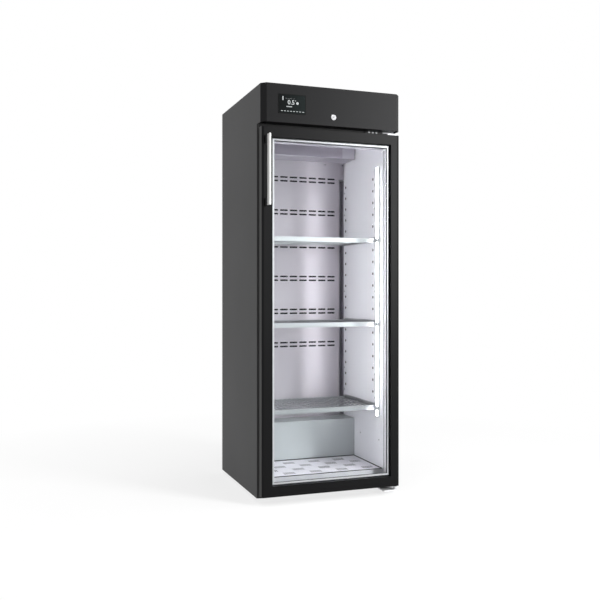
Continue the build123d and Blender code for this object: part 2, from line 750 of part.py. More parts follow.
# Fan housing under the ceiling: one folded sheet with two fan mouths behind the duct panel
fan_size = 92
fan_bore_radius = 42
fan_depth = 25
fan_spacing = 260
fan_y = (duct_y + liner_sheet + liner_back_y) / 2
fan_places = {name: side * fan_spacing / 2 for name, side in sides.items()}
with BuildPart() as fan_housing:
    slab((-panel_half_width, panel_half_width), (housing_y, housing_y + liner_sheet), (housing_z, ceiling_z))
    slab((-panel_half_width, panel_half_width), (housing_y, liner_back_y),
         (housing_z, housing_z + liner_sheet))
    for x in fan_places.values():
        rod((x, fan_y, housing_z), fan_bore_radius, 2 * overrun, "Z", Mode.SUBTRACT)
finish(fan_housing, "fan_housing")

# Evaporator: plain fins on tubes, held between two end plates
coil_side_gap = 85
coil_gap = 14
coil_depth = 104
fin_pitch = 11
fin_sheet = 0.8
end_plate = 2
tube_radius = 4.5
tube_rows = 3
tube_columns = 4
coil_half_width = liner_half_width - coil_side_gap
evaporator_ys = (housing_y + coil_gap, housing_y + coil_gap + coil_depth)
evaporator_zs = (housing_z + liner_sheet, ceiling_z - coil_gap / 2)


def finned_block(half_length, ys, zs, middle_x=0):
    """Fins and end plates in a row along X, joined by straight tubes."""
    fin_count = int(2 * half_length / fin_pitch) - 1
    centre = (middle_x, (ys[0] + ys[1]) / 2, (zs[0] + zs[1]) / 2)
    depth, height = ys[1] - ys[0], zs[1] - zs[0]
    with Locations(centre):
        with GridLocations(fin_pitch, 0, fin_count, 1):
            Box(fin_sheet, depth, height - coil_gap / 2)
        with GridLocations(2 * half_length - end_plate, 0, 2, 1):
            Box(end_plate, depth, height)
        with GridLocations(0, depth / tube_columns, 1, tube_columns):
            for row in range(tube_rows):
                with Locations((0, 0, (row - (tube_rows - 1) / 2) * height / tube_rows)):
                    Cylinder(tube_radius, 2 * half_length + coil_gap, rotation=(0, 90, 0))


with BuildPart() as evaporator_coil:
    finned_block(coil_half_width, evaporator_ys, evaporator_zs)
finish(evaporator_coil, "evaporator_coil")


hub_radius = 17
hub_plate = 3
rotor_gap = 1
arm_width = 5
fan_shaft_radius = 2
blade_count = 7
blade_sheet = 1.6
blade_rake = 32
blade_root_share = 0.8
blade_tip_share = 0.95
blade_chord_share = 0.55


def fan_frame(centre, size, bore, depth, along, up):
    """Square fan frame with a bored bearing plate on four arms."""
    plane = Plane(origin=centre, x_dir=up, z_dir=along)
    with BuildSketch(plane) as ring:
        Rectangle(size, size)
        Circle(bore, mode=Mode.SUBTRACT)
    extrude(ring.sketch, amount=depth)
    with BuildSketch(plane) as arms:
        Circle(hub_radius)
        with PolarLocations(0, 4):
            with Locations((bore / 2, 0)):
                Rectangle(bore + arm_width, arm_width)
        Circle(fan_shaft_radius + pin_clearance, mode=Mode.SUBTRACT)
    extrude(arms.sketch, amount=hub_plate)


def fan_rotor(centre, bore, depth, along, up):
    """Hub with raked blades on a shaft that runs in the bearing plate."""
    plane = Plane(origin=centre, x_dir=up, z_dir=along)
    blade_root = hub_radius * blade_root_share
    blade_tip = bore * blade_tip_share
    with BuildSketch(plane.offset(hub_plate + rotor_gap)) as hub:
        Circle(hub_radius)
    extrude(hub.sketch, amount=depth - hub_plate - 2 * rotor_gap)
    with BuildSketch(plane) as shaft:
        Circle(fan_shaft_radius)
    extrude(shaft.sketch, amount=depth / 2)
    with Locations(plane.offset((hub_plate + depth) / 2).location):
        with PolarLocations(0, blade_count):
            with Locations(((blade_root + blade_tip) / 2, 0, 0)):
                Box(blade_tip - blade_root, blade_chord_share * bore, blade_sheet,
                    rotation=(blade_rake, 0, 0))


# Circulation fans, hung under the housing so that they blow down behind the duct panel
for name, x in fan_places.items():
    fan_centre = (x, fan_y, housing_z - fan_depth)
    with BuildPart() as frame:
        fan_frame(fan_centre, fan_size, fan_bore_radius, fan_depth, (0, 0, 1), (1, 0, 0))
    finish(frame, f"fan_frame_{name}")
    with BuildPart() as rotor:
        fan_rotor(fan_centre, fan_bore_radius, fan_depth, (0, 0, 1), (1, 0, 0))
    finish(rotor, f"fan_rotor_{name}")

# Compressor: a domed shell on its mounting plate, with stubs for the lines
plate_half = 84
plate_sheet = 4
mount_radius = 12
mount_inset = 14
stub_rise_shares = (0.4, 0.8, 1.2)
with BuildPart() as compressor:
    machine_z = base + base_sheet
    shell_zs = (machine_z + compressor_foot + plate_sheet, machine_z + compressor_height)
    rod((compressor_x, compressor_y, sum(shell_zs) / 2), compressor_radius, shell_zs[1] - shell_zs[0])
    fillet(compressor.faces().sort_by(Axis.Z)[-1].edges(), radius=compressor_radius / 2)
    slab(span(compressor_x, 2 * plate_half), span(compressor_y, 2 * plate_half),
         (machine_z + compressor_foot, shell_zs[0]))
    mount_pitch = 2 * (plate_half - mount_inset)
    with Locations((compressor_x, compressor_y, machine_z + compressor_foot / 2)):
        with GridLocations(mount_pitch, mount_pitch, 2, 2):
            Cylinder(mount_radius, compressor_foot)
    stub_zs = [shell_zs[0] + compressor_radius * share for share in stub_rise_shares]
    stub_end = compressor_x + compressor_radius + stub_length
    for z in stub_zs:
        rod(((compressor_x + stub_end) / 2, compressor_y, z), stub_radius, stub_end - compressor_x, "X")
finish(compressor, "compressor")

# Condenser and its fan, which blows along the machine space
condenser_half = 26
condenser_inset = 210
condenser_half_depth = 84
condenser_height = 184
condenser_fan_size = 168
condenser_bore = 78
condenser_fan_depth = 34
liquid_rise = 150
condenser_x = half - condenser_inset
condenser_ys = span(compressor_y, 2 * condenser_half_depth)
condenser_zs = (base + base_sheet, base + base_sheet + condenser_height)
with BuildPart() as condenser_coil:
    finned_block(condenser_half, condenser_ys, condenser_zs, condenser_x)
finish(condenser_coil, "condenser_coil")

fan_face_x = condenser_x - condenser_half - coil_gap
condenser_fan_centre = (fan_face_x, compressor_y, base + base_sheet + condenser_fan_size / 2)
with BuildPart() as condenser_fan_frame:
    fan_frame(condenser_fan_centre, condenser_fan_size, condenser_bore, condenser_fan_depth,
              (-1, 0, 0), (0, 0, 1))
finish(condenser_fan_frame, "condenser_fan_frame")

with BuildPart() as condenser_fan_rotor:
    fan_rotor(condenser_fan_centre, condenser_bore, condenser_fan_depth, (-1, 0, 0), (0, 0, 1))
finish(condenser_fan_rotor, "condenser_fan_rotor")

# Refrigerant lines: suction up the back wall, discharge to the condenser, liquid back up the wall
with BuildPart() as refrigerant_lines:
    front_run_y = condenser_ys[0] - line_bend - line_radius
    rear_coil_y = condenser_ys[1]
    liquid_z = condenser_zs[0] + liquid_rise
    first_z, second_z = stub_zs[0], stub_zs[1]
    suction_x, liquid_x = riser_xs
    discharge_x = stub_end + line_bend + line_radius
    evaporator_back = evaporator_ys[1]
    routes = [
        [(stub_end, compressor_y, first_z), (suction_x, compressor_y, first_z),
         (suction_x, riser_y, first_z), (suction_x, riser_y, line_exit_z),
         (suction_x, evaporator_back, line_exit_z)],
        [(stub_end, compressor_y, second_z), (discharge_x, compressor_y, second_z),
         (discharge_x, front_run_y, second_z), (condenser_x, front_run_y, second_z),
         (condenser_x, condenser_ys[0], second_z)],
        [(condenser_x, rear_coil_y, liquid_z), (condenser_x, riser_y, liquid_z),
         (liquid_x, riser_y, liquid_z), (liquid_x, riser_y, line_exit_z),
         (liquid_x, evaporator_back, line_exit_z)],
    ]
    for route in routes:
        start, second = Vector(route[0]), Vector(route[1])
        with BuildLine() as path:
            FilletPolyline(*route, radius=line_bend)
        with BuildSketch(Plane(origin=start, z_dir=second - start)) as section:
            Circle(line_radius)
        sweep(section.sketch, path=path.wire())
finish(refrigerant_lines, "refrigerant_lines")

# Drain pan that catches the evaporator water in the machine space
pan_inset = 160
pan_width = 96
pan_depth_y = 190
pan_height = 26
pan_wall = 2
with BuildPart() as drain_pan:
    pan_zs = (base + base_sheet, base + base_sheet + pan_height)
    pan_x = (half - pan_inset, half - pan_inset + pan_width)
    slab(pan_x, span(compressor_y, pan_depth_y), pan_zs)
    slab((pan_x[0] + pan_wall, pan_x[1] - pan_wall), span(compressor_y, pan_depth_y - 2 * pan_wall),
         (pan_zs[0] + pan_wall, pan_zs[1] + overrun), mode=Mode.SUBTRACT)
finish(drain_pan, "drain_pan")

# Power inlet: a moulded body in the grille, with a recess and three blades
inlet_body_depth = 24
inlet_flange = 3
inlet_rim = 4
inlet_recess = 16
blade_width = 2
blade_height = 5
blade_spacing = 9
with BuildPart() as power_inlet:
    inlet_z = base + inlet_rise
    slab(span(inlet_x, inlet_width - 2 * plug_gap), (rear_y - inlet_body_depth, rear_y),
         span(inlet_z, inlet_height - 2 * plug_gap))
    slab(span(inlet_x, inlet_width + 2 * inlet_flange),
         (rear_y - skin - inlet_flange, rear_y - skin), span(inlet_z, inlet_height + 2 * inlet_flange))
    slab(span(inlet_x, inlet_width - 2 * inlet_rim), (rear_y - inlet_recess, rear_y + overrun),
         span(inlet_z, inlet_height - 2 * inlet_rim), mode=Mode.SUBTRACT)
    for step in (-1, 0, 1):
        slab(span(inlet_x + step * blade_spacing, blade_width),
             (rear_y - inlet_recess, rear_y - inlet_rim), span(inlet_z, blade_height))
finish(power_inlet, "power_inlet")

# Light bars on the liner sides, with a raised diffuser, and the clips that hold them
led_rise = (base + led_bottom_rise, opening_top - led_top_drop)
led_ys = (front + led_setback, front + led_setback + led_width)
led_base_depth = 3
led_edge = 2
for name, side in sides.items():
    with BuildPart() as led_bar:
        slab(mirrored(side, liner_half_width - led_base_depth, liner_half_width), led_ys, led_rise)
        slab(mirrored(side, liner_half_width - led_depth, liner_half_width - led_base_depth),
             (led_ys[0] + led_edge, led_ys[1] - led_edge), led_rise)
    finish(led_bar, f"led_bar_{name}")

clip_height = 22
clip_foot = 8
clip_sheet = 1
with BuildPart() as led_clips:
    for side in sides.values():
        for top in shelf_tops:
            clip_zs = (top - clip_height, top)
            foot_xs_clip = mirrored(side, liner_half_width - clip_sheet, liner_half_width)
            slab(foot_xs_clip, (led_ys[0] - clip_foot, led_ys[1] + clip_foot), clip_zs)
            slab(mirrored(side, liner_half_width - led_depth - clip_sheet, liner_half_width),
                 (led_ys[0] - clip_sheet, led_ys[1] + clip_sheet), clip_zs)
    for side in sides.values():
        slab(mirrored(side, liner_half_width - led_base_depth, liner_half_width + overrun), led_ys,
             led_rise, mode=Mode.SUBTRACT)
        slab(mirrored(side, liner_half_width - led_depth, liner_half_width - led_base_depth),
             (led_ys[0] + led_edge, led_ys[1] - led_edge), led_rise, mode=Mode.SUBTRACT)
finish(led_clips, "led_clips")

# Shelf rails: angles pegged into the shelf holes
rail_lip_gap = 14
rail_peg_margin = 12
rail_start = shelf_front + rail_lip_gap
rail_end = hole_columns[1] + rail_peg_margin
rail_shelf_gap = 16
peg_gap = 0.3
for name, side in sides.items():
    with BuildPart() as rails:
        for top in shelf_tops:
            rail_low = top - rail_shelf_gap - rail_sheet - part_gap
            rail_zs = (rail_low, rail_low + rail_rise)
            slab(mirrored(side, liner_half_width - rail_sheet, liner_half_width),
                 (rail_start, rail_end), rail_zs)
            slab(mirrored(side, liner_half_width - rail_leg, liner_half_width), (rail_start, rail_end),
                 (rail_low, rail_low + rail_sheet))
            peg_x = side * (liner_half_width + liner_sheet / 2)
            for y in hole_columns:
                rod((peg_x, y, top + shelf_drop), shelf_hole_radius - peg_gap, liner_sheet, "X")
    finish(rails, f"shelf_rails_{name}")

# Wire shelves: a folded front lip, side and rear flats, and a welded grid of round wires
lip_sheet = 1.5
lip_return = 12
flat_sheet = 3
wire_radius = 2.5
cross_radius = 3
wire_pitch = 25
cross_count = 3
wire_bite = 0.6
wire_count = int((2 * shelf_half_width - wire_pitch) / wire_pitch)
for name, top in zip(shelf_names, shelf_tops):
    with BuildPart() as wire_shelf:
        shelf_xs = (-shelf_half_width, shelf_half_width)
        flat_zs = (top - rail_shelf_gap, top)
        slab(shelf_xs, (shelf_front, shelf_front + lip_sheet), (top - shelf_lip, top))
        slab(shelf_xs, (shelf_front, shelf_front + lip_return), (top - lip_sheet, top))
        slab(shelf_xs, (shelf_back - flat_sheet, shelf_back), flat_zs)
        for side in sides.values():
            slab(mirrored(side, shelf_half_width - flat_sheet, shelf_half_width),
                 (shelf_front, shelf_back), flat_zs)
        wire_z = top - lip_sheet - wire_radius
        with BuildSketch(Plane.XZ.offset(-shelf_front - lip_sheet / 2)):
            with Locations((0, wire_z)):
                with GridLocations(wire_pitch, 0, wire_count, 1):
                    Circle(wire_radius)
        extrude(amount=shelf_front + lip_sheet - shelf_back)
        cross_z = wire_z - wire_radius - cross_radius + wire_bite
        cross_step = (shelf_back - shelf_front) / (cross_count + 1)
        for step in range(cross_count):
            rod((0, shelf_front + (step + 1) * cross_step, cross_z), cross_radius,
                2 * shelf_half_width - flat_sheet, "X")
    finish(wire_shelf, f"wire_shelf_{name}")

# Perforated floor tray with folded edges that stand on the liner floor
tray_setback = 88
tray_gap = 2.5
tray_height = 24
tray_sheet = 1.2
tray_slot_length = 42
tray_slot_width = 4.5
tray_slot_pitch = 10
tray_slot_count = 6
tray_group_pitch = 140
tray_row_setback = 152
tray_last_row_gap = 67
tray_shift_left = -28
tray_shift_right = 38
with BuildPart() as floor_tray:
    tray_xs = (-liner_half_width + tray_gap, liner_half_width - tray_gap)
    row_shifts = (tray_shift_right, tray_shift_left) * 2
    first_row_y = front + tray_row_setback
    tray_row_pitch = (hump_y - tray_last_row_gap - first_row_y) / (len(row_shifts) - 1)
    tray_group_count = int((tray_xs[1] - tray_xs[0] - tray_shift_right) / tray_group_pitch)
    tray_ys = (front + tray_setback, hump_y - tray_gap)
    tray_zs = (floor_z, floor_z + tray_height)
    slab(tray_xs, tray_ys, tray_zs)
    slab((tray_xs[0] + tray_sheet, tray_xs[1] - tray_sheet),
         (tray_ys[0] + tray_sheet, tray_ys[1] - tray_sheet),
         (floor_z - overrun, tray_zs[1] - tray_sheet), mode=Mode.SUBTRACT)
    with BuildSketch(Plane.XY.offset(tray_zs[1])):
        for row, shift in enumerate(row_shifts):
            with Locations((shift, first_row_y + row * tray_row_pitch)):
                with GridLocations(tray_group_pitch, 0, tray_group_count, 1):
                    with GridLocations(tray_slot_pitch, 0, tray_slot_count, 1):
                        SlotOverall(tray_slot_length, tray_slot_width, rotation=90)
    extrude(amount=overrun, both=True, mode=Mode.SUBTRACT)
finish(floor_tray, "floor_tray")

# Screws: casing screws on the back and liner screws inside, each a low round head
casing_screw_radius = 4.5
casing_screw_head = 2
back_screw_inset = 12
back_screw_rows = 7
grille_screw_inset = 14
with BuildPart() as casing_screws:
    screw_y = rear_y + casing_screw_head / 2
    rows_low, rows_high = service_top + back_screw_inset, roof - back_screw_inset
    row_step = (rows_high - rows_low) / (back_screw_rows - 1)
    back_rows = [rows_low + row * row_step for row in range(back_screw_rows)]
    grille_rows = [grille_z[0] + grille_screw_inset, grille_z[1] - grille_screw_inset]
    for side in sides.values():
        for z in back_rows + grille_rows:
            rod((side * (half - back_screw_inset), screw_y, z), casing_screw_radius,
                casing_screw_head, "Y")
finish(casing_screws, "casing_screws")

liner_screw_radius = 3.5
liner_screw_head = 1.2
column_screw_shift = 26
rear_screw_shift = 4
column_screw_shares = (0.5, 2.5)
low_screw_rise = 228
low_screw_front_setback = 132
low_screw_hump_gap = 80
panel_screw_inner = 186
panel_screw_inset = 9
panel_screw_drop = 12
with BuildPart() as liner_screws:
    hole_gaps = shelf_hole_count - 1
    top_screw_shares = [hole_gaps - share for share in reversed(column_screw_shares)]
    screw_spots = []
    for share in (*column_screw_shares, hole_gaps / 2, *top_screw_shares):
        height = first_hole_z + share * shelf_hole_pitch
        screw_spots += [(hole_columns[0] - column_screw_shift, height)]
        screw_spots += [(duct_y + rear_screw_shift, height)]
    for low_y in (front + low_screw_front_setback, hump_y - low_screw_hump_gap):
        screw_spots += [(low_y, base + low_screw_rise)]
    for side in sides.values():
        for y, z in screw_spots:
            rod((side * (liner_half_width - liner_screw_head / 2), y, z), liner_screw_radius,
                liner_screw_head, "X")
        for x in (panel_screw_inner, panel_half_width - panel_screw_inset):
            rod((side * x, duct_y - liner_screw_head / 2, housing_z - panel_screw_drop),
                liner_screw_radius, liner_screw_head, "Y")
finish(liner_screws, "liner_screws")
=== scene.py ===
import math

import bmesh
import bpy
from mathutils import Matrix, Vector


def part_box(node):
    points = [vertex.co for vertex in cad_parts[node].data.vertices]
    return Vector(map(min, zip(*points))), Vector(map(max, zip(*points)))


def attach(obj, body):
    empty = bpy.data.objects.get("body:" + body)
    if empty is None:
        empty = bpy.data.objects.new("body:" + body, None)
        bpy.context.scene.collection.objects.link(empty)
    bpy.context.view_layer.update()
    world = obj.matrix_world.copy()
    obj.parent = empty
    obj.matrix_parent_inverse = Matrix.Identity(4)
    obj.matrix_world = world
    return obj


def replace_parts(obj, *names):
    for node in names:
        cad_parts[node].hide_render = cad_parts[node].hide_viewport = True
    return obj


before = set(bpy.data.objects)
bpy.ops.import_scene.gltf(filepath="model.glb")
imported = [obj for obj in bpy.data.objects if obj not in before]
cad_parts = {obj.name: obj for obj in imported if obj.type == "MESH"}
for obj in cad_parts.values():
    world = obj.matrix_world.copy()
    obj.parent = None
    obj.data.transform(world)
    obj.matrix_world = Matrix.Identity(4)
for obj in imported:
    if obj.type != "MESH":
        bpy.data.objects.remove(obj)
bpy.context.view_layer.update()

# The camera stands a little left of the cabinet at the height of its middle, level, and turned
# right. Its lens and small shift give the framing of the photograph.
scene = bpy.context.scene
scene.view_settings.view_transform = "Standard"
camera_data = bpy.data.cameras.new("camera")
camera_data.lens = 47.91
camera_data.sensor_width = 36
camera_data.shift_y = -0.0151
camera = bpy.data.objects.new("camera", camera_data)
camera.location = (-1.461, -3.891, 1.006)
camera.rotation_euler = (math.radians(90), 0, math.radians(-19.95))
scene.collection.objects.link(camera)
scene.camera = camera


# The studio is a white room with a pale floor. The floor takes a soft shadow, and what is polished
# sees the same white that the camera sees.
class Wire:
    """One output in a shader tree, which takes part in plain arithmetic."""

    def __init__(self, tree, socket=None):
        self.tree = tree
        self.socket = socket

    def node(self, kind, settings=None, inputs=None, output=0):
        """Add a node of a kind, with its settings first and then its values or links."""
        made = self.tree.nodes.new("ShaderNode" + kind)
        for name, setting in (settings or {}).items():
            setattr(made, name, setting)
        for name, value in (inputs or {}).items():
            if isinstance(value, Wire):
                self.tree.links.new(value.socket, made.inputs[name])
            else:
                made.inputs[name].default_value = value
        return Wire(self.tree, made.outputs[output] if made.outputs else None)

    def math(self, operation, *values):
        return self.node("Math", {"operation": operation}, dict(enumerate(values)))

    def mix(self, first, second):
        """A colour between two others, by this value."""
        return self.node("Mix", {"data_type": "RGBA"}, {0: self, 6: first, 7: second}, output=2)

    def either(self, other):
        return self.math("MAXIMUM", self, other)

    def __add__(self, other):
        return self.math("ADD", self, other)

    def __mul__(self, other):
        return self.math("MULTIPLY", self, other)

    def __gt__(self, other):
        return self.math("GREATER_THAN", self, other)

    def __lt__(self, other):
        return self.math("LESS_THAN", self, other)

    def __abs__(self):
        return self.math("ABSOLUTE", self)

    __radd__ = __add__
    __rmul__ = __mul__


def shade(code):
    """The linear colour of a six-digit code."""
    parts = [int(code[place:place + 2], 16) / 255 for place in (0, 2, 4)]
    linear = [part / 12.92 if part <= 0.04045 else ((part + 0.055) / 1.055) ** 2.4
              for part in parts]
    return (*linear, 1)


def seen_white(start):
    """1 for rays that reach the eye straight, by a mirror or through glass."""
    ray = [start.node("LightPath", output="Is " + name + " Ray")
           for name in ("Camera", "Glossy", "Transmission")]
    return ray[0].either(ray[1]).either(ray[2])


room = bpy.data.worlds.new("white_room")
room.use_nodes = True
room.node_tree.nodes.clear()
scene.world = room
start = Wire(room.node_tree)
white = (1, 1, 1, 1)
fill = start.node("Background", inputs={"Color": white, "Strength": 0.42})
backdrop = start.node("Background", inputs={"Color": white, "Strength": 1})
both = start.node("MixShader", inputs={0: seen_white(start), 1: fill, 2: backdrop})
start.node("OutputWorld", inputs={"Surface": both})


def new_finish(name):
    """An empty material and the start of its node tree."""
    material = bpy.data.materials.new(name)
    material.use_nodes = True
    material.node_tree.nodes.clear()
    return material, Wire(material.node_tree)


def noise(start, scale, detail=2, stretch=(1, 1, 1)):
    """Cloudy noise in object space, as many cells to the metre as the scale says."""
    place = start.node("TexCoord", output="Object")
    place = start.node("Mapping", inputs={"Vector": place, "Scale": stretch})
    return start.node("TexNoise", inputs={"Vector": place, "Scale": scale, "Detail": detail})


def along(start, axis):
    """How far a point of the surface lies along one axis of the cabinet."""
    place = start.node("TexCoord", output="Object")
    return start.node("SeparateXYZ", inputs={"Vector": place}, output=axis)


# Near the cabinet the floor mixes its lit surface with white, so that the shadow is faint, and
# further out it is white alone.
shadow_full, shadow_gone, white_share = 0.7, 2.6, 0.72
floor_finish, start = new_finish("studio_floor")
mottle = noise(start, 2.5)
place = start.node("TexCoord", output="Object")
away = start.node("VectorMath", {"operation": "LENGTH"}, {0: place}, output="Value")
clean = start.node("MapRange", inputs={0: away, 1: shadow_full, 2: shadow_gone,
                                       3: white_share, 4: 1.0})
lit = start.node("BsdfDiffuse", inputs={"Color": mottle.mix(shade("f6f6f6"), shade("fcfcfc"))})
plain = start.node("Emission", inputs={"Color": white, "Strength": 1})
blend = start.node("MixShader", inputs={0: seen_white(start) * clean, 1: lit, 2: plain})
start.node("OutputMaterial", inputs={"Surface": blend})


def placed(name, shape, finish):
    """Link a finished bmesh as an object at the origin."""
    bmesh.ops.recalc_face_normals(shape, faces=shape.faces[:])
    mesh = bpy.data.meshes.new(name)
    shape.to_mesh(mesh)
    shape.free()
    mesh.materials.append(finish)
    piece = bpy.data.objects.new(name, mesh)
    scene.collection.objects.link(piece)
    return piece


floor_shape = bmesh.new()
bmesh.ops.create_grid(floor_shape, x_segments=2, y_segments=2, size=40)
floor = placed("studio_floor", floor_shape, floor_finish)

# Three soft panels light the cabinet: a broad one at its left side, a tall one at the front right
# whose glow brightens the right of the black front, and one overhead.
for name, place, target, width, height, power in (
        ("panel_left", (-4.2, 0.6, 1.1), (0, 0, 0.7), 2.4, 2.0, 42),
        ("panel_right", (2.4, -3.4, 2.15), (0.1, -0.3, 1.3), 1.1, 2.7, 215),
        ("panel_over", (0, -0.6, 4.6), (0, 0, 1.0), 2.6, 2.6, 80)):
    lamp = bpy.data.lights.new(name, "AREA")
    lamp.shape = "RECTANGLE"
    lamp.size, lamp.size_y = width, height
    lamp.energy = power
    panel = bpy.data.objects.new(name, lamp)
    panel.location = place
    panel.rotation_euler = (Vector(target) - Vector(place)).to_track_quat("-Z", "Y").to_euler()
    scene.collection.objects.link(panel)


def dress(finish, *names):
    """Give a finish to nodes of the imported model."""
    for name in names:
        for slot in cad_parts[name].material_slots:
            slot.material = finish


# The casing, the fascia and the door frame are folded steel sheet with a black powder coat. It is
# painted greyer on the casing, as painted light on its lit sides, and darker on the fascia and the
# door, as painted shade. The coat has a fine orange peel, and its folds are slightly rounded.
def powder_coat(name, dark, light, rough, sheen):
    finish, start = new_finish(name)
    cloud = noise(start, 2.2, 3)
    peel = noise(start, 650, 2)
    rounded = start.node("Bevel", {"samples": 4}, {"Radius": 0.0012})
    bump = start.node("Bump", inputs={"Height": peel, "Strength": 0.22, "Distance": 0.0004,
                                      "Normal": rounded})
    coat = start.node("BsdfPrincipled", inputs={
        "Base Color": cloud.mix(shade(dark), shade(light)),
        "Roughness": rough + 0.08 * cloud + 0.06 * peel,
        "Specular IOR Level": sheen, "Normal": bump})
    start.node("OutputMaterial", inputs={"Surface": coat})
    return finish


dress(powder_coat("casing_coat_painted_light", "262627", "2d2d2e", 0.42, 0.16), "side_panel_left",
      "side_panel_right", "roof_panel")
dress(powder_coat("fascia_coat_painted_shade", "131314", "181819", 0.34, 0.09), "fascia_panel")
dress(powder_coat("door_coat_painted_shade", "0a0a0b", "0f0f10", 0.34, 0.09), "door_frame")


# The back, base and grille are galvanised sheet left bare, with the pale flaky pattern of its zinc.
# The clips are cut from the same sheet, but painted much lighter, as painted light where they face
# into the shaded cabinet.
def zinc_plate(name, dark, light, rough, flake, metallic=1.0, stretch=(1, 1, 1)):
    finish, start = new_finish(name)
    place = start.node("TexCoord", output="Object")
    cells = start.node("TexVoronoi", inputs={"Vector": place, "Scale": flake}, output="Color")
    tone = start.node("SeparateColor", inputs={"Color": cells}, output="Red")
    streak = noise(start, 40, 3, stretch)
    rounded = start.node("Bevel", {"samples": 4}, {"Radius": 0.0006})
    bump = start.node("Bump", inputs={"Height": streak, "Strength": 0.15, "Distance": 0.0002,
                                      "Normal": rounded})
    metal = start.node("BsdfPrincipled", inputs={
        "Base Color": (tone * 0.6 + streak * 0.4).mix(shade(dark), shade(light)),
        "Metallic": metallic, "Roughness": rough + 0.12 * tone, "Normal": bump})
    start.node("OutputMaterial", inputs={"Surface": metal})
    return finish


dress(zinc_plate("galvanised_sheet", "9a9c9f", "c0c2c5", 0.42, 70), "back_panel", "base_pan",
      "back_grille", "drain_pan", "control_box")
dress(zinc_plate("clip_steel", "d0d0d4", "ececf0", 0.3, 400, 0.3), "led_clips")


# The hinge plates are 5 mm steel with a bright zinc plate, painted lighter on the lower one as
# painted light. The upper one is painted black as far as its pivot end, as painted shade in the gap
# between fascia and door; the pivot end is left bright. Socket screws hold both plates to the
# casing.
def pan_head(shape, centre, radius, height, outward):
    """One screw head whose flat side is at the centre, looking outward."""
    turn = Vector((0, 0, 1)).rotation_difference(Vector(outward)).to_matrix().to_4x4()
    move = Matrix.Translation(centre) @ turn
    made = bmesh.ops.create_cone(shape, cap_ends=True, segments=18, radius1=radius, radius2=radius,
                                 depth=height, matrix=move @ Matrix.Translation((0, 0, height / 2)))
    away = Vector(outward)
    faces = {face for vert in made["verts"] for face in vert.link_faces}
    top = max(faces, key=lambda face: face.calc_center_median().dot(away))
    bmesh.ops.bevel(shape, geom=top.edges[:], offset=height * 0.45, segments=3, profile=0.5,
                    affect="EDGES", material=-1)
    near = [face for face in shape.faces
            if (face.calc_center_median() - Vector(centre)).length < radius]
    top = max(near, key=lambda face: (round(face.calc_center_median().dot(away), 6),
                                      face.calc_area()))
    bmesh.ops.inset_individual(shape, faces=[top], thickness=radius * 0.2)
    bmesh.ops.inset_individual(shape, faces=[top], thickness=radius * 0.06, depth=-height * 0.6)


hinge_zinc = zinc_plate("hinge_zinc", "bcbdbf", "dcdddf", 0.3, 300, 0.45, (12, 1, 1))
dress(hinge_zinc, "hinge_pins", "lock_cam")
# The lower plate's zinc is a lighter copy of the pins' zinc, as painted light.
dress(zinc_plate("lower_hinge_zinc_painted_light", "dfe0e2", "f2f3f4", 0.4, 300, 0.1, (12, 1, 1)),
      "hinge_bracket_bottom")
# The upper plate is painted black up to its pivot end, as painted shade.
shade_ends_x = 0.291
hinge_shade_finish, start = new_finish("hinge_plate_painted_shade")
bright_end = along(start, "X") > shade_ends_x
scuff = noise(start, 60, 3)
plate = start.node("BsdfPrincipled", inputs={
    "Base Color": bright_end.mix(shade("161617"), scuff.mix(shade("a4a5a8"), shade("c4c5c8"))),
    "Metallic": bright_end * 0.45, "Roughness": 0.34 + 0.12 * scuff, "Specular IOR Level": 0.25})
start.node("OutputMaterial", inputs={"Surface": plate})
dress(hinge_shade_finish, "hinge_bracket_top")
bolt_radius, bolt_height = 0.0055, 0.003
upper_front, upper_middle = -0.276, 1.795
lower_row, lower_underside = -0.212, 0.015
bolts = bmesh.new()
for x in (0.216, 0.236, 0.256):
    pan_head(bolts, (x, upper_front, upper_middle), bolt_radius, bolt_height, (0, -1, 0))
for x in (0.298, 0.330):
    pan_head(bolts, (x, lower_row, lower_underside), bolt_radius, bolt_height, (0, 0, -1))
hinge_bolts = placed("hinge_bolts", bolts, hinge_zinc)
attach(hinge_bolts, "cabinet")


# The inside is stainless sheet, brushed level, so that it draws the light of the bars out into tall
# soft bands. Its panels are given tones of their own, as painted light and shade: nearly white on
# the side walls and the tray, light grey on the rails, greyer on the ceiling, hump, duct panel and
# shelves. Behind the duct panel and under the tray it is painted dark, as painted shade.
def brushed_steel(name, dark, light, rough, stretch, drawn=0.0, turned=0.0, metallic=1.0,
                  cut=None):
    """Steel whose edges, where a function marks them, are painted dark, as painted shade."""
    finish, start = new_finish(name)
    grain = noise(start, 1, 3, stretch)
    cloud = noise(start, 3, 2)
    tone = (grain * 0.55 + cloud * 0.45).mix(shade(dark), shade(light))
    if cut:
        tone = cut(start).mix(tone, shade("161618"))
    rounded = start.node("Bevel", {"samples": 4}, {"Radius": 0.0007})
    bump = start.node("Bump", inputs={"Height": grain, "Strength": 0.25, "Distance": 0.00012,
                                      "Normal": rounded})
    steel = start.node("BsdfPrincipled", inputs={
        "Base Color": tone, "Metallic": metallic, "Roughness": rough + 0.1 * cloud + 0.08 * grain,
        "Anisotropic": drawn, "Anisotropic Rotation": turned, "Normal": bump})
    start.node("OutputMaterial", inputs={"Surface": steel})
    return finish


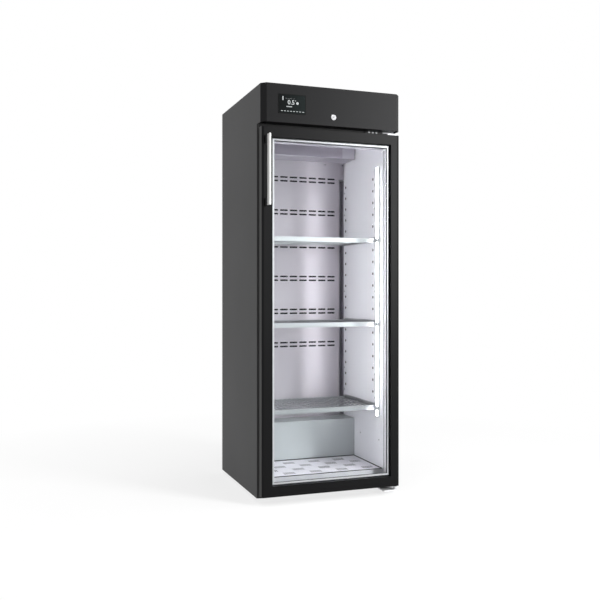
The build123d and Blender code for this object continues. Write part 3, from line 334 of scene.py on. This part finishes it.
across_grain = (7, 700, 700)
depth_grain = (700, 7, 700)
upright_grain = (900, 900, 9)
dress(brushed_steel("wall_steel", "e9e6eb", "f6f4f8", 0.45, depth_grain, 0.5, 0.25, 0.2),
      "liner_side_left", "liner_side_right")
dress(brushed_steel("duct_steel", "9f9aa0", "b3adb4", 0.4, across_grain, 0.85, 0.25), "duct_panel")
dress(brushed_steel("hump_steel", "a3a7a9", "b6b9bb", 0.34, across_grain, 0.95, 0.25, 0.4),
      "compressor_hump")
dress(brushed_steel("ceiling_steel", "aeaab3", "c6c2cb", 0.3, across_grain, 0.5, 0.25, 0.7),
      "liner_ceiling", "fan_housing")
dress(brushed_steel("steel_painted_shade", "1c1c1f", "28282c", 0.5, across_grain), "liner_back",
      "liner_floor")
dress(brushed_steel("shelf_steel", "8e8f92", "a8a9ab", 0.34, across_grain), "wire_shelf_top",
      "wire_shelf_middle", "wire_shelf_bottom")
dress(brushed_steel("rail_steel", "bcbcc0", "d8d8dc", 0.3, depth_grain), "shelf_rails_left",
      "shelf_rails_right")


# The front of the evaporator housing is closed by a screwed cover that stops short of its right
# end, where the plain end plate shows. The cover is a darker copy of the housing's steel, as
# painted shade.
def rounded_box(shape, low, high, round_by):
    """A box between two corners with its edges rounded."""
    made = bmesh.ops.create_cube(shape, size=1)
    bmesh.ops.scale(shape, vec=Vector(high) - Vector(low), verts=made["verts"])
    bmesh.ops.translate(shape, vec=(Vector(high) + Vector(low)) / 2, verts=made["verts"])
    edges = {edge for vert in made["verts"] for edge in vert.link_edges}
    bmesh.ops.bevel(shape, geom=list(edges), offset=round_by, segments=2, profile=0.5,
                    affect="EDGES", material=-1)


low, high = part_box("fan_housing")
cover_right, cover_sheet, cover_gap, cover_round = 0.226, 0.0012, 0.003, 0.0004
screw_in, screw_radius, screw_height = 0.012, 0.003, 0.0012
cover_shape = bmesh.new()
rounded_box(cover_shape, (low.x + cover_gap, low.y - cover_sheet, low.z + cover_gap),
            (cover_right, low.y, high.z - cover_gap), cover_round)
for x in (low.x + screw_in, cover_right - screw_in + cover_gap):
    for z in (low.z + screw_in, high.z - screw_in):
        pan_head(cover_shape, (x, low.y - cover_sheet, z), screw_radius, screw_height, (0, -1, 0))
cover = placed("housing_cover", cover_shape,
               brushed_steel("cover_steel_painted_shade", "98939c", "b3adb7", 0.24, across_grain, 0.8, 0.25))
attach(cover, "cabinet")


# The mouldings are glass-filled nylon and ABS, black: the front frame, the fans, the bezel, the
# hinge bushes, the inner frame of the door and the handle posts. The return channels are painted a
# lighter grey, as painted light where they stand in shade.
def moulded(name, dark, light, rough, grain=900, shine=0.3):
    finish, start = new_finish(name)
    speck = noise(start, grain, 2)
    cloud = noise(start, 6, 2)
    rounded = start.node("Bevel", {"samples": 4}, {"Radius": 0.0008})
    bump = start.node("Bump", inputs={"Height": speck, "Strength": 0.3, "Distance": 0.0002,
                                      "Normal": rounded})
    plastic = start.node("BsdfPrincipled", inputs={
        "Base Color": cloud.mix(shade(dark), shade(light)),
        "Roughness": rough + 0.1 * speck, "Specular IOR Level": shine, "Normal": bump})
    start.node("OutputMaterial", inputs={"Surface": plastic})
    return finish


dress(moulded("frame_plastic", "121213", "19191a", 0.5), "front_frame", "door_inner_frame",
      "handle_posts", "hinge_bushes")
dress(moulded("channel_plastic", "8b8692", "99949f", 0.45), "return_channels")
dress(moulded("fan_plastic", "0e0e0f", "151516", 0.4), "fan_frame_left", "fan_frame_right",
      "fan_rotor_left", "fan_rotor_right", "condenser_fan_frame", "condenser_fan_rotor")
dress(moulded("bezel_plastic", "050606", "0a0b0b", 0.35, shine=0.08), "display_bezel",
      "power_inlet")

# The foam that fills the walls is cream polyurethane. A black plastic cup is foamed in behind each
# shelf hole. The foam is painted black inside each pocket, for the cup and as painted shade, and
# where it meets the mouth of the liner, as painted shade.
cup_end_x, mouth_y = 0.3186, -0.25
foam_finish, start = new_finish("insulation_foam")
# Painted shade: the foam is black inside the pockets and at the mouth of the liner.
pocket = (abs(along(start, "X")) < cup_end_x).either(along(start, "Y") < mouth_y)
cells = noise(start, 400, 2)
bump = start.node("Bump", inputs={"Height": cells, "Strength": 0.4, "Distance": 0.0006})
cream = noise(start, 6, 2).mix(shade("cdbd8e"), shade("e2d4a8"))
foam = start.node("BsdfPrincipled", inputs={
    "Base Color": pocket.mix(cream, shade("0c0c0d")), "Roughness": 0.8 + 0.1 * cells,
    "Specular IOR Level": 0.2, "Normal": bump})
start.node("OutputMaterial", inputs={"Surface": foam})
dress(foam_finish, "foam_insulation")

# Each cup ends in a thin black flange that rings its hole on the face of the liner. The holes that
# hold the rails, one in seven, have none.
liner_x, first_hole, hole_pitch, hole_count, rail_every = 0.305, 0.4245, 0.061, 20, 7
flange_outer, flange_inner, flange_proud = 0.0068, 0.004, 0.0005
flanges = bmesh.new()
for side in (-1, 1):
    for step in range(hole_count):
        for y in (-0.132, 0.224):
            if step % rail_every == 0:
                continue
            centre = (side * (liner_x - flange_proud / 2), y, first_hole + hole_pitch * step)
            flat = Matrix.Translation(centre) @ Matrix.Rotation(math.radians(90), 4, "Y")
            outer, inner = (bmesh.ops.create_cone(flanges, segments=16, radius1=radius,
                                                  radius2=radius, depth=flange_proud, matrix=flat)
                            for radius in (flange_outer, flange_inner))
            walls = [{edge for vert in wall["verts"] for edge in vert.link_edges
                      if abs(edge.verts[0].co.x - edge.verts[1].co.x) < flange_proud / 2}
                     for wall in (outer, inner)]
            for end in (1, -1):
                rims = [edge for wall in walls for edge in wall
                        if (edge.verts[0].co.x - flat.translation.x) * end > 0]
                bmesh.ops.bridge_loops(flanges, edges=rims)
cups = placed("shelf_hole_cups", flanges, moulded("cup_plastic", "0e0e0f", "161618", 0.5))
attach(cups, "cabinet")

# The door gasket is extruded black rubber, mitred and welded at its corners. A foot holds it to the
# inner frame, two bellows folds let it stretch, and a flat pocket holds the magnet strip. Its
# section is in millimetres, inwards from the edge and back from the foot.
gasket_profile = [
    (5, 0), (13, 0), (13, 1.5), (16.5, 3.2), (12.5, 5.2), (16.5, 7.2), (14, 8.6), (17.6, 9.2),
    (18, 10), (18, 13), (17.3, 13.7), (0.7, 13.7), (0, 13), (0, 10), (0.4, 9.2), (4, 8.6),
    (1.5, 7.2), (5.5, 5.2), (1.5, 3.2), (5, 1.5)]
low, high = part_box("door_gasket")
gasket_shape = bmesh.new()
rings = []
for x, inward_x, z, inward_z in ((low.x, 1, low.z, 1), (high.x, -1, low.z, 1),
                                 (high.x, -1, high.z, -1), (low.x, 1, high.z, -1)):
    ring = [gasket_shape.verts.new((x + inward_x * inset / 1000, low.y + depth / 1000,
                                    z + inward_z * inset / 1000))
            for inset, depth in gasket_profile]
    rings.append([gasket_shape.edges.new(pair) for pair in zip(ring, ring[1:] + ring[:1])])
for ring, following in zip(rings, rings[1:] + rings[:1]):
    bmesh.ops.bridge_loops(gasket_shape, edges=ring + following)
gasket = placed("door_gasket_bellows", gasket_shape,
                moulded("gasket_rubber", "151516", "1b1b1c", 0.62, 1400, 0.2))
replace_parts(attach(gasket, "door"), "door_gasket")

# The four levelling feet are black nylon discs on threaded studs, each with a hexagon nut that is
# turned with a spanner. The outline is radius and height in millimetres, with a 1 mm thread.
thread_root, thread_crest, thread_turns, stud_top = 4.4, 5, 19, 32
foot_outline = [(0, 0), (16.5, 0), (18.4, 0.8), (19, 2.4), (19, 6), (18.2, 7.6), (16, 8.6),
                (10.5, 10.4), (9.4, 12), (6.2, 12.6)]
for turn in range(thread_turns):
    foot_outline += [(thread_root, 12.8 + turn), (thread_crest, 13.3 + turn)]
foot_outline += [(thread_root, stud_top), (0, stud_top)]
nut_radius, nut_height, nut_middle, nut_round = 0.0095, 0.0052, 0.0162, 0.0005
feet_shape = bmesh.new()
for x in (-0.315, 0.315):
    for y in (-0.172, 0.344):
        line = [feet_shape.verts.new((x + radius / 1000, y, height / 1000))
                for radius, height in foot_outline]
        edges = [feet_shape.edges.new(pair) for pair in zip(line, line[1:])]
        bmesh.ops.spin(feet_shape, geom=line + edges, cent=(x, y, 0), axis=(0, 0, 1), steps=28,
                       angle=math.tau, use_merge=True)
        nut = bmesh.ops.create_cone(feet_shape, cap_ends=True, segments=6, radius1=nut_radius,
                                    radius2=nut_radius, depth=nut_height,
                                    matrix=Matrix.Translation((x, y, nut_middle)))
        edges = {edge for vert in nut["verts"] for edge in vert.link_edges}
        bmesh.ops.bevel(feet_shape, geom=list(edges), offset=nut_round, segments=2, profile=0.5,
                        affect="EDGES", material=-1)
bmesh.ops.remove_doubles(feet_shape, verts=feet_shape.verts[:], dist=1e-6)
feet = placed("levelling_foot_set", feet_shape, moulded("foot_nylon", "141414", "1e1e1e", 0.5))
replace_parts(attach(feet, "cabinet"), "levelling_feet")

# The floor tray is one stainless sheet with folded rims. The edges of its slots are painted dark,
# as painted shade in the slots. A black rubber strip edges the tray all round, where it meets the
# liner and the door, as painted shadow in the gaps there.
low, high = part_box("floor_tray")
rim, slot_shade_depth = 0.01, 0.0002
strip_width, strip_height, strip_round = 0.003, 0.0042, 0.0008


def slot_edge_shade(start):
    """1 on the edges of the tray's slots, inside its rims, where shade is painted."""
    inside = (abs(along(start, "X")) < high.x - rim) * (along(start, "Y") > low.y + rim)
    return (along(start, "Z") < high.z - slot_shade_depth) * inside


dress(brushed_steel("tray_steel", "e6e1e9", "f6f2f8", 0.36, across_grain, metallic=0.35,
                    cut=slot_edge_shade), "floor_tray")
strips = bmesh.new()
for y in (low.y, high.y - strip_width):
    rounded_box(strips, (low.x, y, high.z),
                (high.x, y + strip_width, high.z + strip_height), strip_round)
for x in (low.x, high.x - strip_width):
    rounded_box(strips, (x, low.y + strip_width, high.z),
                (x + strip_width, high.y - strip_width, high.z + strip_height), strip_round)
tray_gap_shade_strip = placed("tray_gap_shade_strip", strips, moulded("gap_shade_rubber", "121213", "1a1a1b", 0.55))
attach(tray_gap_shade_strip, "cabinet")

# The door glass is two clear panes, coated so that they mirror little except at a slant. The spacer
# between them is a dark breather strip whose two edges, bonded to the panes, are rolled aluminium.
mirror_face_on, edge_depth = 0.004, 0.0006
glass_finish, start = new_finish("clear_glass")
through = start.node("BsdfTransparent", inputs={"Color": shade("fcfdfd")})
smear = noise(start, 3, 3)
gloss = start.node("BsdfPrincipled", inputs={
    "Base Color": smear.mix(shade("f4f6f6"), shade("ffffff")), "Metallic": 1.0,
    "Roughness": 0.02 + 0.05 * smear})
tilt = start.node("LayerWeight", inputs={"Blend": 0.5}, output="Facing")
mirror = mirror_face_on + tilt.math("POWER", tilt, 5)
glass = start.node("MixShader", inputs={0: mirror, 1: through, 2: gloss})
start.node("OutputMaterial", inputs={"Surface": glass})
dress(glass_finish, "glass_outer", "glass_inner")

low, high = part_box("glass_spacer")
spacer_finish, start = new_finish("spacer_aluminium")
streak = noise(start, 60, 2)
depth = along(start, "Y")
bonded = (depth < low.y + edge_depth).either(depth > high.y - edge_depth)
edge_tone = streak.mix(shade("b4b4b7"), shade("c8c8cb"))
spacer = start.node("BsdfPrincipled", inputs={
    "Base Color": bonded.mix(streak.mix(shade("161618"), shade("222225")), edge_tone),
    "Metallic": bonded * 0.4, "Roughness": 0.3 + 0.1 * streak})
start.node("OutputMaterial", inputs={"Surface": spacer})
dress(spacer_finish, "glass_spacer")

# The handle is a flat bar of satin stainless steel, brushed along its length. Two black posts hold
# it off the door frame.
dress(brushed_steel("handle_steel", "b6b6b5", "d0d0cf", 0.3, upright_grain), "handle_bar")

# The lock is die-cast zinc with a bright chrome plate. Its barrel is fixed in the fascia, and the
# inner disc turns with the key.
chrome, start = new_finish("lock_chrome")
haze = noise(start, 220, 2)
plate = start.node("BsdfPrincipled", inputs={
    "Base Color": haze.mix(shade("bcbcbf"), shade("d6d6d8")), "Metallic": 1.0,
    "Roughness": 0.1 + 0.1 * haze})
start.node("OutputMaterial", inputs={"Surface": plate})
dress(chrome, "lock_barrel", "lock_cylinder")

# The light bars are aluminium strips with a milky diffuser that wraps the broad face, which looks
# across the cabinet, and the rear flank. The front flank is the bare strip, so that it doesn't
# dazzle. Each end has a plastic cap, and a black screw holds each clip.
diffuser_x, diffuser_wall = 0.2955, 0.0004
bar_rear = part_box("led_bar_left")[1].y
bar_finish, start = new_finish("light_bar")
glow = (abs(along(start, "X")) < diffuser_x).either(along(start, "Y") > bar_rear - diffuser_wall)
ripple = noise(start, 300, 1)
bar = start.node("BsdfPrincipled", inputs={
    "Base Color": ripple.mix(shade("d4d5d8"), shade("e4e5e8")), "Roughness": 0.42 + 0.08 * ripple,
    "Emission Color": glow.mix((0, 0, 0, 1), white), "Emission Strength": 46.0})
start.node("OutputMaterial", inputs={"Surface": bar})
dress(bar_finish, "led_bar_left", "led_bar_right")

cap_shape, clip_screw_shape = bmesh.new(), bmesh.new()
cap_proud, cap_length, cap_round = 0.0005, 0.004, 0.001
clip_x, clip_screw_radius, clip_screw_height = 0.294, 0.0045, 0.0007
for side, bar in ((-1, "led_bar_left"), (1, "led_bar_right")):
    low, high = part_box(bar)
    for z in (low.z, high.z):
        rounded_box(cap_shape,
                    (low.x - cap_proud * (side > 0), low.y - cap_proud, z - cap_length / 2),
                    (high.x + cap_proud * (side < 0), high.y + cap_proud, z + cap_length / 2),
                    cap_round)
    for clip_z in (0.4095, 0.8365, 1.2635):
        pan_head(clip_screw_shape, (side * clip_x, (low.y + high.y) / 2, clip_z),
                 clip_screw_radius, clip_screw_height, (-side, 0, 0))
caps = placed("light_bar_caps", cap_shape, moulded("cap_plastic", "cfd0d2", "dcdddf", 0.4))
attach(caps, "cabinet")
clip_screws = placed("clip_screw_heads", clip_screw_shape,
                     moulded("black_oxide", "17171a", "232327", 0.32, 500, 0.5))
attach(clip_screws, "cabinet")

# The cooling unit in the base: a compressor in glossy black enamel, coils of aluminium fins on
# copper tubes, and bare copper lines that are bent by hand.
enamel, start = new_finish("compressor_enamel")
wave = noise(start, 45, 2)
bump = start.node("Bump", inputs={"Height": wave, "Strength": 0.2, "Distance": 0.0004})
shell = start.node("BsdfPrincipled", inputs={
    "Base Color": wave.mix(shade("0d0d0e"), shade("161617")), "Roughness": 0.2 + 0.15 * wave,
    "Coat Weight": 0.4, "Normal": bump})
start.node("OutputMaterial", inputs={"Surface": shell})
dress(enamel, "compressor")
dress(brushed_steel("coil_aluminium", "b9bbbd", "d6d8da", 0.34, (60, 400, 400)), "evaporator_coil",
      "condenser_coil")
copper, start = new_finish("copper_line")
tarnish = noise(start, 28, 3)
tube = start.node("BsdfPrincipled", inputs={
    "Base Color": tarnish.mix(shade("8d5436"), shade("d08a63")), "Metallic": 1.0,
    "Roughness": 0.26 + 0.2 * tarnish})
start.node("OutputMaterial", inputs={"Surface": tube})
dress(copper, "refrigerant_lines")

# The display is a dark glass pane that is set in the moulded bezel, with a faint painted sheen that
# lightens it towards its right end.
screen_finish, start = new_finish("display_glass")
low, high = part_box("display_screen")
rise = start.node("MapRange", inputs={0: along(start, "X"), 1: low.x, 2: high.x})
sheen = rise * 0.7 + noise(start, 30, 2) * 0.3
screen = start.node("BsdfPrincipled", inputs={
    "Base Color": sheen.mix(shade("040505"), shade("161d1d")), "Roughness": 0.16 + 0.08 * sheen,
    "Specular IOR Level": 0.1})
start.node("OutputMaterial", inputs={"Surface": screen})
dress(screen_finish, "display_screen")

# What the display shows is lit from behind: the temperature with its degree ring, a round symbol,
# an upright bar, a row of dots, a short scale and a bottom row of small keys.
marks = bmesh.new()
mark_ys = (low.y - 0.00015, low.y)
mark_y = sum(mark_ys) / 2
reading_x, reading_z = -0.2168, 1.8852
letters = bpy.data.curves.new("reading", "FONT")
letters.body = "0.5"
letters.size = 0.029
letters.extrude = 0.00007
letters.resolution_u = 3
reading = bpy.data.meshes.new_from_object(bpy.data.objects.new("reading", letters))
marks.from_mesh(reading)
bmesh.ops.rotate(marks, verts=marks.verts[:], cent=(0, 0, 0),
                 matrix=Matrix.Rotation(math.radians(90), 3, "X"))
width = max(vert.co.x for vert in marks.verts)
bmesh.ops.translate(marks, verts=marks.verts[:], vec=(reading_x - width / 2, mark_y, reading_z))


def disc(shape, x, z, radius, hole=0.0):
    """A flat lit disc or ring on the display."""
    flat = Matrix.Translation((x, mark_y, z)) @ Matrix.Rotation(math.radians(90), 4, "X")
    made = bmesh.ops.create_cone(shape, cap_ends=True, segments=20, radius1=radius, radius2=radius,
                                 depth=0.00014, matrix=flat)
    if hole:
        caps = [face for vert in made["verts"] for face in vert.link_faces if len(face.verts) > 4]
        bmesh.ops.inset_individual(shape, faces=list(set(caps)), thickness=radius - hole)
        ends = [face for face in set(caps) if face.is_valid]
        rims = [edge for face in ends for edge in face.edges]
        bmesh.ops.delete(shape, geom=ends, context="FACES_ONLY")
        bmesh.ops.bridge_loops(shape, edges=list(set(rims)))


disc(marks, -0.1935, 1.9035, 0.0022, 0.0011)
disc(marks, -0.1842, 1.892, 0.006, 0.0032)
disc(marks, -0.1842, 1.892, 0.002)
for x in (-0.2411, -0.2313, -0.2215, -0.2117, -0.2018):
    disc(marks, x, 1.912, 0.0009)
bmesh.ops.remove_doubles(marks, verts=marks.verts[:], dist=1e-6)
upright_bar = [(-0.2566, 1.9121, 0.004, 0.018)]
short_scale = [(-0.2372 + step * 0.0048, 1.8743, 0.0032, 0.004) for step in range(6)]
small_keys = [(-0.262 + step * 0.0152, 1.8529, 0.0085, 0.0022) for step in range(8)]
for x, z, width, height in upright_bar + short_scale + small_keys:
    rounded_box(marks, (x - width / 2, mark_ys[0], z - height / 2),
                (x + width / 2, mark_ys[1], z + height / 2), 0.00006)
lit_finish, start = new_finish("lit_marks")
flicker = noise(start, 90, 1)
lit = start.node("BsdfPrincipled", inputs={
    "Base Color": shade("202626"), "Roughness": 0.4 + 0.1 * flicker,
    "Emission Color": flicker.mix(shade("cfd6d6"), shade("f2f5f5")), "Emission Strength": 0.95})
start.node("OutputMaterial", inputs={"Surface": lit})
reading_marks = placed("display_marks", marks, lit_finish)
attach(reading_marks, "cabinet")

# The screws are stainless pan heads with a hexagon socket. Those inside hold the liner and the
# duct panel, and those outside hold the back and the grille to the side panels. The heads inside
# are a much darker copy of the same steel, as painted shade.
steel_head = brushed_steel("screw_steel", "a4a4a6", "cfcfd1", 0.24, (300, 300, 300))
dark_head = brushed_steel("liner_screw_steel_painted_shade", "2a2a2e", "414147", 0.3, (300, 300, 300))
head_radius, head_height = 0.0035, 0.0012
low_screw_z, duct_front, duct_screw_z = 0.248, 0.238, 1.708
heads = bmesh.new()
for side in (-1, 1):
    wall_screws = [(y, first_hole + hole_pitch * share) for share in (0.5, 2.5, 9.5, 16.5, 18.5)
                   for y in (-0.158, 0.242)]
    wall_screws += [(y, low_screw_z) for y in (-0.205, 0.024)]
    for y, z in wall_screws:
        pan_head(heads, (side * liner_x, y, z), head_radius, head_height, (-side, 0, 0))
    for x in (0.186, 0.290):
        pan_head(heads, (side * x, duct_front, duct_screw_z), head_radius, head_height, (0, -1, 0))
liner_heads = placed("liner_screw_heads", heads, dark_head)
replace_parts(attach(liner_heads, "cabinet"), "liner_screws")

casing_head_radius, casing_head_height = 0.0045, 0.002
edge_x, back_y, lowest_row, highest_row, row_gaps = 0.348, 0.399, 0.280, 1.968, 6
back_rows = [lowest_row + row * (highest_row - lowest_row) / row_gaps
             for row in range(row_gaps + 1)]
grille_rows = [0.035, 0.253]
heads = bmesh.new()
for side in (-1, 1):
    for z in back_rows + grille_rows:
        pan_head(heads, (side * edge_x, back_y, z), casing_head_radius, casing_head_height,
                 (0, 1, 0))
casing_heads = placed("casing_screw_heads", heads, steel_head)
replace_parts(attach(casing_heads, "cabinet"), "casing_screws")
